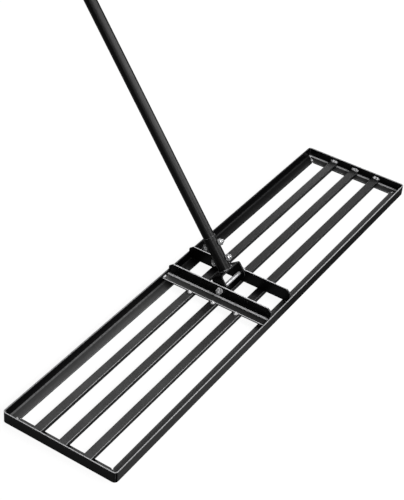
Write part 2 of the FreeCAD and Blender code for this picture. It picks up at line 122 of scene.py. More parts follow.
# Welds. A bead has a width and the length of one ripple in it. A tack has how far out it lies from the corner
# of the flanges, along X and Y alike, then its width and its height.
BAR_BEAD = dict(width=0.0048, pitch=0.0056)
CROSS_BEAD = dict(width=0.0056, pitch=0.0050)
RAIL_BEAD = dict(width=0.0034, pitch=0.0040)
SEAM_BEAD = dict(width=0.0010, pitch=0.0014)
SOCKET_BEAD = dict(width=0.0030, pitch=0.0038)
BEAD_SPACING = 0.0006
BEAD_COLUMNS = 14
BAR_BEAD_SHARE = 1.05
CROSS_BEAD_HALF = 0.0054
RAIL_BEAD_START, RAIL_BEAD_END = 0.013, 0.001
SEAM_START, SEAM_END = 0.0065, 0.0160
SEAM_SLOPE = 1.2
INNER_TACK = (0.0048, 0.0058, 0.0022)
OUTER_TACK = (0.0168, 0.0065, 0.0028)
LEFT_TACK_SHARE = 0.75
TACK_ROWS, TACK_COLUMNS = 9, 22
TACK_TOP = 0.12
TACK_FOOT_SHARE = 0.35
TACK_AXIS = (0.31, 0.55, 0.77)
SOCKET_BEAD_POINTS = 120


# Shapes

def unit(vector):
    vector = np.asarray(vector, float)
    return vector / np.linalg.norm(vector, axis=-1, keepdims=True)


def full_turn(count):
    """Evenly spaced angles all the way round."""
    return np.linspace(0, 2 * math.pi, count, endpoint=False)


def smooth_step(low, high, values):
    """0 below low, 1 above high, and 3t^2 - 2t^3 between them."""
    t = np.clip((values - low) / (high - low), 0.0, 1.0)
    return t * t * (3 - 2 * t)


def waves(values, seed):
    """The mean of five sines of unlike lengths and phases, raised to lie between about -1 and 1."""
    count, slowest, fastest, rise = 5, 0.6, 2.6, 1.6
    chance = np.random.default_rng(seed)
    rates = chance.uniform(slowest, fastest, count)
    phases = chance.uniform(0, 2 * math.pi, count)
    return np.sin(np.multiply.outer(np.asarray(values, float), rates) + phases).mean(-1) * rise


def outward(points, faces):
    """The faces, all turned over if the volume they enclose, summed from the points' middle, is negative."""
    middle = points.mean(0)
    volume = 0.0
    for corners in faces:
        for second in range(1, corners.shape[1] - 1):
            a, b, c = (points[corners[:, k]] - middle for k in (0, second, second + 1))
            volume += np.einsum("ij,ij->", a, np.cross(b, c))
    return [corners[:, ::-1] if volume < 0 else corners for corners in faces]


def skin(grid, ring=False):
    """The closed surface over a grid of points whose columns go round. Its rows are joined end to end for a
    ring, and otherwise a fan about the middle of the first and of the last row closes it."""
    rows, columns = grid.shape[:2]
    points = grid.reshape(-1, 3)
    row = np.arange(rows if ring else rows - 1)[:, None]
    column = np.arange(columns)[None, :]
    above, beside = (row + 1) % rows, (column + 1) % columns
    corners = [row * columns + column, row * columns + beside,
               above * columns + beside, above * columns + column]
    faces = [np.stack(np.broadcast_arrays(*corners), -1).reshape(-1, 4)]
    if not ring:
        count = len(points)
        points = np.vstack([points, grid[0].mean(0), grid[-1].mean(0)])
        first = np.arange(columns)
        following = (first + 1) % columns
        last = (rows - 1) * columns
        faces.append(np.stack([following, first, np.full(columns, count)], -1))
        faces.append(np.stack([last + first, last + following, np.full(columns, count + 1)], -1))
    return points, outward(points, faces)


def turned(radius, height):
    """Points round the Z axis, from a radius for each row and column of them and a height for each row."""
    angle = full_turn(radius.shape[1])
    height = np.repeat(np.asarray(height, float)[:, None], radius.shape[1], 1)
    return np.stack([radius * np.cos(angle), radius * np.sin(angle), height], -1)


def hexagon_radius(flats):
    """The distance of a hexagon's outline from its middle: half its flats over the cosine of the angle from
    the middle of the nearest flat."""
    angle = full_turn(HEXAGON_SIDES)
    return flats / 2 / np.cos((angle + math.pi / 6) % (math.pi / 3) - math.pi / 6)


def hexagon_block(flats, low, high, both_ends, bore=0.0):
    """A hexagon from low to high. Each radius is the lesser of the hexagon's and that of a flat cone, which
    chamfers the low end or both. With a bore it is a nut, a ring whose inside has the bore's radius."""
    hexagon = hexagon_radius(flats)
    end_radius = flats / 2 * CHAMFER_SHARE
    fall = (hexagon.max() - end_radius) * math.tan(CHAMFER_ANGLE)
    steps = CHAMFER_STEP_SHARES * fall
    height = np.concatenate([low + steps, high - steps[::-1]])
    slope = 1 / math.tan(CHAMFER_ANGLE)
    cone = end_radius + (height - low) * slope
    if both_ends:
        cone = np.minimum(cone, end_radius + (high - height) * slope)
    rim = np.minimum(hexagon[None, :], cone[:, None])
    inner = np.full((2, HEXAGON_SIDES), bore) if bore else rim[[0, -1]] * FACE_MIDDLE_SHARE
    radius = np.vstack([inner[:1], rim, inner[1:]])
    height = np.concatenate([[low], height, [high]])
    return skin(turned(radius, height), ring=bool(bore))


def threaded_rod(radius, low, thread_low, high, pitch):
    """A rod from low to high with a thread above thread_low. Its radius falls by a share of the pitch at the
    bottom of a groove that climbs one pitch each turn, and the groove fades in over the first turn. At the
    tip the radius falls off as a smooth step."""
    height = np.linspace(thread_low, high, round((high - thread_low) / pitch * THREAD_ROWS))
    angle = full_turn(ROD_SIDES)
    climb = (height[:, None] / pitch - angle[None, :] / (2 * math.pi)) % 1.0
    groove = np.clip(1 - np.abs(climb - 0.5) / THREAD_FLANK_SHARE, 0, 1)
    start = smooth_step(thread_low, thread_low + pitch, height)[:, None]
    tip = smooth_step(high, high - TIP_LENGTH_SHARE * pitch, height)[:, None]
    depth = THREAD_DEPTH_SHARE * pitch
    thread = np.minimum(radius - depth * groove * start, radius - depth * TIP_DEPTH_SHARE * (1 - tip))
    plain = np.full((2, ROD_SIDES), radius)
    height = np.concatenate([[low, thread_low - THREAD_GAP], height])
    return skin(turned(np.vstack([plain, thread]), height))


def bolt(sizes, grip, thread_low):
    """A hex bolt along Z: its head ends at 0, what it holds ends at grip, and its thread begins at
    thread_low."""
    head = hexagon_block(sizes["flats"], -sizes["head"], 0.0, both_ends=False)
    tip = grip + sizes["nut"] + sizes["tip"]
    rod = threaded_rod(sizes["radius"], -sizes["head"] * 0.5, thread_low, tip, sizes["pitch"])
    return [head, rod]


def nut(sizes, grip):
    """A hex nut on the far side of what the bolt holds, chamfered at both ends."""
    bore = sizes["radius"] + NUT_PLAY
    return [hexagon_block(sizes["flats"], grip, grip + sizes["nut"], both_ends=True, bore=bore)]


def moved(parts, axes, place):
    """Parts with their X, Y and Z laid along three given axes and their origin at a place."""
    axes = np.array(axes, float)
    placed = [(points @ axes + np.asarray(place, float), faces) for points, faces in parts]
    return [(points, outward(points, faces)) for points, faces in placed]


HANDLE_AXES = np.array([
    [1.0, 0.0, 0.0],
    [0.0, math.sin(REST_ANGLE), -math.cos(REST_ANGLE)],
    [0.0, math.cos(REST_ANGLE), math.sin(REST_ANGLE)],
])


def on_handle(parts):
    """Parts given along the handle's own axes, in their place at rest."""
    return moved(parts, HANDLE_AXES, PIVOT)


def bead(path, side_a, side_b, width, pitch, seed):
    """A weld bead along a path in the corner between two surfaces that lead away along side_a and side_b.
    Round each point the radius is full between the two sides and small inside the steel. Along the path it
    rises and falls like overlapping coins, one each pitch, and at the ends of an open path it tapers as a
    square root to almost nothing."""
    inside_share, crown_fall, coin_fall, wave_share = 0.25, 0.10, 0.16, 0.10
    taper_share, end_share = 0.9, 0.02
    path = np.asarray(path, float)
    step = np.linalg.norm(np.diff(path, axis=0), axis=1)
    run = np.concatenate([[0], np.cumsum(step)])
    angle = full_turn(BEAD_COLUMNS)
    facing = np.cos(angle - math.pi / 4)
    section = inside_share + (1 - inside_share) * smooth_step(0.15, 0.70, facing)
    section = section * (1 - crown_fall * smooth_step(0.8, 1.0, facing))
    coin = (run / pitch) % 1.0
    ripple = 1 - coin_fall * coin**2 + wave_share * waves(run / pitch * 2, seed)
    closed = np.linalg.norm(path[0] - path[-1]) < step.mean() * 1.5
    if not closed:
        end = np.minimum(run, run[-1] - run)
        ripple = ripple * np.sqrt(np.clip(end / (width * taper_share), 0, 1))
        ripple[[0, -1]] = end_share
    radius = width * ripple[:, None] * section[None, :]
    across = radius * np.cos(angle)
    up = radius * np.sin(angle)
    side_a = np.broadcast_to(side_a, path.shape)
    side_b = np.broadcast_to(side_b, path.shape)
    grid = path[:, None] + across[..., None] * side_a[:, None] + up[..., None] * side_b[:, None]
    return skin(grid, ring=bool(closed))


def straight(start, end):
    """Evenly spaced points from start to end."""
    start, end = np.asarray(start, float), np.asarray(end, float)
    count = max(6, int(np.linalg.norm(end - start) / BEAD_SPACING))
    return start + (end - start) * np.linspace(0, 1, count)[:, None]


def tack(centre, width, height, seed):
    """A weld tack on a level face: a dome whose height is the square root of 1 - t^2 at the share t of its
    width, with waves round it, and whose foot is a little below the face."""
    across = unit(np.cross(UP, TACK_AXIS))
    along = np.cross(UP, across)
    slope = np.linspace(math.pi / 2, TACK_TOP, TACK_ROWS)
    t = np.concatenate([[1.0], np.sin(slope)])
    lift = np.concatenate([[-TACK_FOOT_SHARE], np.cos(slope)])
    angle = full_turn(TACK_COLUMNS)
    wobble = 1 + 0.13 * waves(np.cos(angle) * 2, seed) + 0.10 * waves(np.sin(angle) * 2, seed + 1)
    radius = width / 2 * t[:, None] * wobble[None, :]
    grid = (
        np.asarray(centre, float)
        + (radius * np.cos(angle))[..., None] * across
        + (radius * np.sin(angle))[..., None] * along
        + (height * lift)[:, None, None] * np.array(UP, float)
    )
    return skin(grid)


# Materials. Colours are linear, noise scales are in cells a metre, and a range is where a mask goes from
# nothing to full.

# The grey that goes over faces that face a way: part dust, and part painted sheen where light would fall on
# those faces.
DUST_AND_SHEEN_GREY = (0.12, 0.12, 0.12)
SPECK_GREY = (0.06, 0.06, 0.06)
RUBBED_GREY = (0.11, 0.11, 0.115)
# The light grey of painted highlights, put on edges, rims and roundings in place of the light they would
# catch.
PAINTED_HIGHLIGHT_GREY = (0.70, 0.70, 0.71)
# The side that roundings with a painted highlight face.
PAINTED_HIGHLIGHT_SIDE = (-0.75, -0.66, 0)
# The way that edges with a painted highlight face; the range of that facing is further down.
PAINTED_HIGHLIGHT_WAY = (-0.48, -0.42, 0.77)
FACING_RANGE = (0.90, 0.99)
SHARP_EDGE_RANGE = (0.99, 0.90)
PAINTED_HIGHLIGHT_RANGE = (0.45, 0.80)
ROUGH_CLOUD_RANGE = (0.3, 0.7)


def new_group(name, inputs, outputs):
    """An empty shader node group with named sockets."""
    group = bpy.data.node_groups.new(name, "ShaderNodeTree")
    for socket, kind, value in inputs:
        item = group.interface.new_socket(socket, in_out="INPUT", socket_type=kind)
        item.default_value = value
    for socket, kind in outputs:
        group.interface.new_socket(socket, in_out="OUTPUT", socket_type=kind)
    return group, group.nodes.new("NodeGroupInput"), group.nodes.new("NodeGroupOutput")


def link(tree, start, end):
    tree.links.new(end, start)


def feed(tree, value, socket):
    """Another node's output goes into a socket, or a plain value is set on it."""
    if isinstance(value, bpy.types.NodeSocket):
        link(tree, value, socket)
    else:
        socket.default_value = value


def math_node(tree, operation, first, second, clamp=False):
    node = tree.nodes.new("ShaderNodeMath")
    node.operation = operation
    node.use_clamp = clamp
    feed(tree, first, node.inputs[0])
    feed(tree, second, node.inputs[1])
    return node.outputs[0]


def noise(tree, vector, scale, detail, roughness):
    node = tree.nodes.new("ShaderNodeTexNoise")
    link(tree, vector, node.inputs["Vector"])
    feed(tree, scale, node.inputs["Scale"])
    node.inputs["Detail"].default_value = detail
    node.inputs["Roughness"].default_value = roughness
    return node.outputs["Fac"]


def dot(tree, vector, way):
    """The dot product of a vector with another one or with a fixed way."""
    node = tree.nodes.new("ShaderNodeVectorMath")
    node.operation = "DOT_PRODUCT"
    link(tree, vector, node.inputs[0])
    feed(tree, way, node.inputs[1])
    return node.outputs["Value"]


def stretch(tree, value, low, high, new_low=0.0, new_high=1.0):
    node = tree.nodes.new("ShaderNodeMapRange")
    link(tree, value, node.inputs["Value"])
    for socket, number in (("From Min", low), ("From Max", high), ("To Min", new_low), ("To Max", new_high)):
        node.inputs[socket].default_value = number
    return node.outputs["Result"]


def object_coordinates(tree):
    return tree.nodes.new("ShaderNodeTexCoord").outputs["Object"]


def flecks(tree, speckle, least, gain):
    """What a noise has above a least value, times a gain, kept between 0 and 1."""
    kept = math_node(tree, "SUBTRACT", speckle, least, clamp=True)
    return math_node(tree, "MULTIPLY", kept, gain, clamp=True)


def edge_group():
    """Two masks of edges. The first is rubbed wear: 1 where the surface turns sharply, how far the normal
    rounded over the reach leaves the true one, broken up by noise. The second is a painted highlight: it
    keeps those that face up and out, in place of the light they would catch."""
    group, given, out = new_group(
        "edge_rub_and_painted_highlight",
        [("Reach", "NodeSocketFloat", 0.001), ("Break", "NodeSocketFloat", 0.35)],
        [("Mask", "NodeSocketFloat"), ("Painted Highlight", "NodeSocketFloat"), ("Normal", "NodeSocketVector")],
    )
    speckle_scale, rub_gain, highlight_break, highlight_gain = 420.0, 3.0, 0.22, 4.0
    rounded = group.nodes.new("ShaderNodeBevel")
    rounded.samples = 6
    link(group, given.outputs["Reach"], rounded.inputs["Radius"])
    geometry = group.nodes.new("ShaderNodeNewGeometry")
    leaning = dot(group, rounded.outputs["Normal"], geometry.outputs["Normal"])
    sharp = stretch(group, leaning, *SHARP_EDGE_RANGE)
    speckle = noise(group, object_coordinates(group), speckle_scale, 4.0, 0.6)
    kept = flecks(group, speckle, given.outputs["Break"], rub_gain)
    link(group, math_node(group, "MULTIPLY", sharp, kept, clamp=True), out.inputs["Mask"])
    own = group.nodes.new("ShaderNodeVectorTransform")
    own.vector_type, own.convert_from, own.convert_to = "NORMAL", "WORLD", "OBJECT"
    link(group, rounded.outputs["Normal"], own.inputs[0])
    # Painted highlight: sharp edges that face this way get light grey in place of the light they would catch.
    facing = stretch(group, dot(group, own.outputs[0], PAINTED_HIGHLIGHT_WAY), *PAINTED_HIGHLIGHT_RANGE)
    kept = flecks(group, speckle, highlight_break, highlight_gain)
    highlighted_edges = math_node(group, "MULTIPLY", sharp, facing)
    link(group, math_node(group, "MULTIPLY", highlighted_edges, kept, clamp=True), out.inputs["Painted Highlight"])
    link(group, rounded.outputs["Normal"], out.inputs["Normal"])
    return group


def rim_group():
    """A painted highlight on the narrow rim at the end of a part and on its roundings: 1 where the surface
    faces the given way at the given height along it, or where it slopes and faces the given side."""
    group, given, out = new_group(
        "painted_rim_highlight",
        [("Way", "NodeSocketVector", UP), ("Side", "NodeSocketVector", PAINTED_HIGHLIGHT_SIDE),
         ("Height", "NodeSocketFloat", 1.0), ("Round", "NodeSocketFloat", 1.0)],
        [("Mask", "NodeSocketFloat")],
    )
    height_range, level_range = (-0.0008, -0.0002), (0.6, 0.92)
    off_level_range, off_upright_range, side_range = (0.999, 0.990), (0.45, 0.70), (0.04, 0.15)
    speckle_scale, speckle_range, speckle_least = 260.0, (0.30, 0.50), 0.45
    place = group.nodes.new("ShaderNodeTexCoord")
    above = dot(group, place.outputs["Object"], given.outputs["Way"])
    above = math_node(group, "SUBTRACT", above, given.outputs["Height"])
    high = stretch(group, above, *height_range)
    level = stretch(group, dot(group, place.outputs["Normal"], given.outputs["Way"]), *level_range)
    rim = math_node(group, "MULTIPLY", high, level)
    up = dot(group, place.outputs["Normal"], UP)
    off_level, off_upright = stretch(group, up, *off_level_range), stretch(group, up, *off_upright_range)
    sloped = math_node(group, "MULTIPLY", off_level, off_upright)
    sideways = stretch(group, dot(group, place.outputs["Normal"], given.outputs["Side"]), *side_range)
    rounding_highlight = math_node(group, "MULTIPLY", sloped, sideways)
    rounding_highlight = math_node(group, "MULTIPLY", rounding_highlight, given.outputs["Round"])
    both = math_node(group, "MAXIMUM", rim, rounding_highlight)
    speckle = noise(group, place.outputs["Object"], speckle_scale, 4.0, 0.6)
    speckle = stretch(group, speckle, *speckle_range, speckle_least, 1.0)
    link(group, math_node(group, "MULTIPLY", both, speckle, clamp=True), out.inputs["Mask"])
    return group


def finish_group():
    """The finish of a coat of paint: broad and fine variation, dust in fine specks, and the height of its
    orange peel."""
    group, given, out = new_group(
        "coat_finish",
        [("Peel", "NodeSocketFloat", 900.0), ("Cloud", "NodeSocketFloat", 22.0)],
        [("Cloud", "NodeSocketFloat"), ("Dust", "NodeSocketFloat"), ("Height", "NodeSocketFloat")],
    )
    dust_scale, dust_range = 1500.0, (0.63, 0.78)
    place = object_coordinates(group)
    link(group, noise(group, place, given.outputs["Cloud"], 5.0, 0.6), out.inputs["Cloud"])
    dust = noise(group, place, dust_scale, 2.0, 0.5)
    link(group, stretch(group, dust, *dust_range), out.inputs["Dust"])
    link(group, noise(group, place, given.outputs["Peel"], 2.0, 0.45), out.inputs["Height"])
    return group


def place_group(tree, group, **values):
    node = tree.nodes.new("ShaderNodeGroup")
    node.node_tree = group
    for name, value in values.items():
        node.inputs[name].default_value = value
    return node


def colour_mix(tree, share, first, second):
    """The first colour with a share of the second over it, each a node's output or a plain colour."""
    node = tree.nodes.new("ShaderNodeMix")
    node.data_type = "RGBA"
    for socket, value in (("A", first), ("B", second)):
        target = next(one for one in node.inputs if one.name == socket and one.type == "RGBA")
        feed(tree, (*value, 1) if isinstance(value, tuple) else value, target)
    link(tree, share, node.inputs["Factor"])
    return next(one for one in node.outputs if one.type == "RGBA")


def bump(tree, height, strength, distance, normal=None):
    node = tree.nodes.new("ShaderNodeBump")
    node.inputs["Strength"].default_value = strength
    node.inputs["Distance"].default_value = distance
    link(tree, height, node.inputs["Height"])
    if normal is not None:
        link(tree, normal, node.inputs["Normal"])
    return node.outputs["Normal"]


def new_material(name):
    material = bpy.data.materials.new(name)
    material.use_nodes = True
    return material, material.node_tree, material.node_tree.nodes["Principled BSDF"]


EDGE = edge_group()
COAT = finish_group()
RIM = rim_group()


def dust_and_sheen_over(tree, colour, way, share, faded=None):
    """A colour with a share of grey over it on faces that face a way: part dust, and part painted sheen where
    light would fall on them.
    """
    normal = tree.nodes.new("ShaderNodeTexCoord").outputs["Normal"]
    level = stretch(tree, dot(tree, normal, way), *FACING_RANGE, 0.0, share)
    if faded is not None:
        level = math_node(tree, "MULTIPLY", level, faded)
    return colour_mix(tree, level, colour, DUST_AND_SHEEN_GREY)


def paint(name, dark, light, rub, highlight, roughness, specular, peel=900.0, reach=0.0014, way=UP, height=1.0,
          rim=0.0, rounding_highlight_share=1.0, highlight_side=PAINTED_HIGHLIGHT_SIDE, cloud_scale=22.0, cloud_range=(0.35, 0.65), dust=0.0,
          dust_and_sheen_way=UP, level_dust_and_sheen=0.0, specks=0.25, fade=None, highlight_fades=False, bend=1.5):
    """Black paint: dark and light are its two clouded tones, then come the shares of its rubbed edges and of
    a painted highlight on edges that face one way, and roughness is its least and greatest roughness. A
    painted highlight goes on the rim at a height along a way by the rim's share, and on the roundings that
    face the highlight side by a share of that. Dust is the share of a grey, part dust and part painted sheen,
    on faces that face its way, the level share that on level faces, specks the share of fine dust. Fade gives
    a way, the two places along it between which that grey, and the painted highlight if it fades too, grow to
    full, and their least share. Bend is the coat's index of refraction."""
    peel_strength, peel_height = 0.10, 0.00015
    material, tree, shader = new_material(name)
    coat = place_group(tree, COAT, Peel=peel, Cloud=cloud_scale)
    edge = place_group(tree, EDGE, Reach=reach)
    colour = colour_mix(tree, stretch(tree, coat.outputs["Cloud"], *cloud_range), dark, light)
    faded = None
    if fade:
        towards, start, end, least = fade
        faded = stretch(tree, dot(tree, object_coordinates(tree), towards), start, end, least, 1.0)
    # Grey that is part dust and part painted sheen, on faces that face a way and on level faces.
    if dust:
        colour = dust_and_sheen_over(tree, colour, dust_and_sheen_way, dust, faded)
    if level_dust_and_sheen:
        colour = dust_and_sheen_over(tree, colour, UP, level_dust_and_sheen)
    fine = math_node(tree, "MULTIPLY", coat.outputs["Dust"], specks)
    dusty = colour_mix(tree, fine, colour, SPECK_GREY)
    worn = math_node(tree, "MULTIPLY", edge.outputs["Mask"], rub)
    rubbed = colour_mix(tree, worn, dusty, RUBBED_GREY)
    # Painted highlight: light grey on edges that face one way, and below also on the rim and the roundings.
    painted_highlight = math_node(tree, "MULTIPLY", edge.outputs["Painted Highlight"], highlight)
    if rim:
        # Painted highlight on the rim at the given height and on the roundings that face the highlight side.
        rim_highlight = place_group(tree, RIM, Way=way, Side=highlight_side, Height=height, Round=rounding_highlight_share)
        painted_highlight = math_node(tree, "MAXIMUM", painted_highlight, math_node(tree, "MULTIPLY", rim_highlight.outputs["Mask"], rim))
    # The painted highlight fades along the fade's way, weaker where less light falls.
    if highlight_fades:
        painted_highlight = math_node(tree, "MULTIPLY", painted_highlight, faded)
    link(tree, colour_mix(tree, painted_highlight, rubbed, PAINTED_HIGHLIGHT_GREY), shader.inputs["Base Color"])
    rough = stretch(tree, coat.outputs["Cloud"], *ROUGH_CLOUD_RANGE, *roughness)
    link(tree, rough, shader.inputs["Roughness"])
    shader.inputs["Specular IOR Level"].default_value = specular
    shader.inputs["IOR"].default_value = bend
    peeled = bump(tree, coat.outputs["Height"], peel_strength, peel_height, edge.outputs["Normal"])
    link(tree, peeled, shader.inputs["Normal"])
    return material


def weld_paint(name, dark, light, rub, highlight, roughness, specular, cloud_range):
    """Paint over a weld, with a finer peel and finer clouds than on a flat face. The light tone of its clouds
    is a painted glint.
    """
    return paint(name, dark, light, rub, highlight, roughness, specular, peel=1400.0, cloud_scale=240.0,
                 cloud_range=cloud_range)


def bare_steel(name, dark, light, roughness, metal):
    """Zinc plated steel: two clouded tones and a fine grain, under a dull plating where metal is below 1."""
    cloud_scale, cloud_range = 160.0, (0.40, 0.54)
    grain_scale, grain_strength, grain_height = 1800.0, 0.12, 0.0001
    material, tree, shader = new_material(name)
    place = object_coordinates(tree)
    cloud = noise(tree, place, cloud_scale, 4.0, 0.6)
    grain = noise(tree, place, grain_scale, 2.0, 0.5)
    colour = colour_mix(tree, stretch(tree, cloud, *cloud_range), dark, light)
    link(tree, colour, shader.inputs["Base Color"])
    shader.inputs["Metallic"].default_value = metal
    link(tree, stretch(tree, cloud, *ROUGH_CLOUD_RANGE, *roughness), shader.inputs["Roughness"])
    link(tree, bump(tree, grain, grain_strength, grain_height), shader.inputs["Normal"])
    return material


def rubber(name):
    """Moulded soft plastic: dull, slightly lighter where it is rubbed, with a fine leathery grain."""
    dark, light, roughness, specular = (0.012, 0.012, 0.013), (0.022, 0.022, 0.023), (0.55, 0.72), 0.35
    cloud_scale, cloud_range, reach, rub = 60.0, (0.35, 0.65), 0.0012, 0.4
    cell_scale, cell_strength, cell_height = 1100.0, 0.25, 0.0002
    material, tree, shader = new_material(name)
    place = object_coordinates(tree)
    cells = tree.nodes.new("ShaderNodeTexVoronoi")
    cells.inputs["Scale"].default_value = cell_scale
    link(tree, place, cells.inputs["Vector"])
    cloud = noise(tree, place, cloud_scale, 4.0, 0.6)
    edge = place_group(tree, EDGE, Reach=reach)
    base = colour_mix(tree, stretch(tree, cloud, *cloud_range), dark, light)
    worn = math_node(tree, "MULTIPLY", edge.outputs["Mask"], rub)
    link(tree, colour_mix(tree, worn, base, SPECK_GREY), shader.inputs["Base Color"])
    link(tree, stretch(tree, cloud, *ROUGH_CLOUD_RANGE, *roughness), shader.inputs["Roughness"])
    shader.inputs["Specular IOR Level"].default_value = specular
    link(tree, bump(tree, cells.outputs["Distance"], cell_strength, cell_height), shader.inputs["Normal"])
    return material


DARK, LIGHT = (0.0015, 0.0015, 0.0017), (0.0030, 0.0030, 0.0032)
GLOSS = (0.28, 0.36)
# Fades of painted sheen and painted highlight: full towards the left end, or towards the rear, and weaker
# away from it, as light falls there. Each gives a way, the two places along it and the least share.
PAINTED_LIGHT_GROWS_LEFT = ((1, 0, 0), 0.05, -0.12, 0.12)
PAINTED_LIGHT_GROWS_REARWARD = ((0, 1, 0), -0.10, 0.12, 0.3)
# The rim and rounding shares of these paints put painted highlight on rims and roundings, and their dust on
# faces facing a way is part dust and part painted sheen.
LEFT_RAIL_PAINT = paint("rail_paint", DARK, LIGHT, 0.15, 0.4, GLOSS, 0.25, height=RAIL_LEG, rim=0.75,
                        rounding_highlight_share=0.6, specks=0.18)
# The front rail's grey on its front face is painted sheen, and that on its level flange part dust and part
# painted sheen, both stronger towards the left end.
FRONT_RAIL_PAINT = paint("front_rail_paint", DARK, DARK, 0.05, 0.3, GLOSS, 0.25, height=RAIL_LEG, rim=0.62,
                         rounding_highlight_share=0.6, dust=0.31, dust_and_sheen_way=(0, -1, 0), level_dust_and_sheen=0.80, specks=0.0,
                         fade=PAINTED_LIGHT_GROWS_LEFT, bend=1.1)
REAR_RAIL_PAINT = paint("rear_rail_paint", DARK, DARK, 0.2, 0.4, GLOSS, 0.16, height=RAIL_LEG, rim=0.4,
                        rounding_highlight_share=0.38, dust=0.50, specks=0.04, fade=PAINTED_LIGHT_GROWS_LEFT, highlight_fades=True, bend=1.35)
RIGHT_RAIL_PAINT = paint("far_rail_paint", DARK, LIGHT, 0.4, 0.6, GLOSS, 0.25, height=RAIL_LEG, rim=0.6,
                         rounding_highlight_share=2.8, dust=0.24)
CROSS_PAINT = paint("cross_angle_paint", DARK, DARK, 0.2, 0.4, GLOSS, 0.22, height=CROSS_TOP, rim=1.1,
                    rounding_highlight_share=2.6, highlight_side=(-1, 0, 0), dust=0.55, specks=0.06, fade=PAINTED_LIGHT_GROWS_REARWARD)
# The bars' painted highlight on their roundings fades away from the left end.
BAR_PAINT = paint("bar_paint", DARK, LIGHT, 0.3, 0.8, GLOSS, 0.25, reach=0.0020, rim=0.55, fade=PAINTED_LIGHT_GROWS_LEFT,
                  highlight_fades=True)
YOKE_PAINT = paint("yoke_paint", DARK, DARK, 0.1, 0.2, GLOSS, 0.12, specks=0.10)
TUBE_PAINT = paint("tube_paint", DARK, DARK, 0.3, 0.0, GLOSS, 0.25, specks=0.12)
# The socket's rim share is a painted highlight on its top rim.
SOCKET_PAINT = paint("socket_paint", DARK, LIGHT, 0.3, 0.0, GLOSS, 0.25, way=tuple(HANDLE_AXES[2]), rim=0.9,
                     height=float(HANDLE_AXES[2] @ PIVOT) + SOCKET_RIM, rounding_highlight_share=0.0)
# The light tones of the weld paints are painted glints, in clouds over the black.
WELD_PAINT = weld_paint("weld_paint_with_painted_glints", (0.005, 0.005, 0.0055), (0.75, 0.75, 0.76), 0.7, 0.9, (0.12, 0.24),
                        0.5, (0.40, 0.53))
TACK_PAINT = weld_paint("tack_paint_with_painted_glints", (0.10, 0.10, 0.10), (0.92, 0.92, 0.93), 0.7, 0.9, (0.10, 0.20),
                        0.5, (0.36, 0.50))
YOKE_WELD_PAINT = weld_paint("yoke_weld_paint_with_painted_glints", (0.004, 0.004, 0.0042), (0.30, 0.30, 0.31), 0.5, 0.4,
                             (0.16, 0.30), 0.3, (0.46, 0.60))
ZINC = bare_steel("zinc_plated_steel", (0.50, 0.50, 0.51), (0.97, 0.98, 0.99), (0.08, 0.22), metal=0.75)
NUT_ZINC = bare_steel("pivot_nut_steel", (0.30, 0.30, 0.30), (0.98, 0.98, 0.99), (0.10, 0.24), metal=0.45)
BOLT_ZINC = bare_steel("pivot_bolt_steel", (0.42, 0.42, 0.43), (0.62, 0.62, 0.63), (0.28, 0.40), metal=0.40)
DULL_ZINC = bare_steel("worn_washer_steel", (0.03, 0.03, 0.03), (0.08, 0.08, 0.08), (0.30, 0.45), metal=0.8)
RUBBER = rubber("grip_rubber_grain")


# Pieces

def put(name, parts, body, material, stands_for=()):
    """One piece from several closed parts, with its material and the body that it rides on."""
    sharp_angle = math.radians(35.0)
    points, faces, count = [], [], 0
    for part_points, part_faces in parts:
        points.append(part_points)
        for corners in part_faces:
            faces.extend((corners + count).tolist())
        count += len(part_points)
    mesh = bpy.data.meshes.new(name)
    mesh.from_pydata(np.vstack(points).tolist(), [], faces)
    mesh.update()
    mesh.shade_smooth()
    mesh.set_sharp_from_angle(angle=sharp_angle)
    mesh.materials.append(material)
    item = bpy.data.objects.new(name, mesh)
    bpy.context.scene.collection.objects.link(item)
    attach(item, body)
    if stands_for:
        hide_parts(*stands_for)


def dress_nodes():
    """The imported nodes, each with its finish: those with none of their own here are zinc plated."""
    finishes = {
        "left_end_rail": LEFT_RAIL_PAINT, "right_end_rail": RIGHT_RAIL_PAINT,
        "front_rail": FRONT_RAIL_PAINT, "rear_rail": REAR_RAIL_PAINT,
        "front_bar": BAR_PAINT, "middle_bar": BAR_PAINT, "rear_bar": BAR_PAINT,
        "left_cross_angle": CROSS_PAINT, "right_cross_angle": CROSS_PAINT,
        "yoke": YOKE_PAINT, "socket_tube": SOCKET_PAINT,
        "lower_handle_tube": TUBE_PAINT, "upper_handle_tube": TUBE_PAINT,
        "hand_grip": RUBBER, "outer_washers": DULL_ZINC,
    }
    for name, node in frame["nodes"].items():
        node.data.materials.clear()
        node.data.materials.append(finishes.get(name, ZINC))


def bar_welds():
    """A bead across the top of each bar where it meets each end rail."""
    parts = []
    for way in (-1, 1):
        wall = (HALF_LENGTH - RAIL_WALL) * way
        for number, middle in enumerate(BAR_MIDDLES):
            start = (wall, middle - BAR_HALF * BAR_BEAD_SHARE, BAR_TOP)
            end = (wall, middle + BAR_HALF * BAR_BEAD_SHARE, BAR_TOP)
            seed = 10 + 2 * number + way
            parts.append(bead(straight(start, end), (-way, 0, 0), UP, **BAR_BEAD, seed=seed))
    return parts


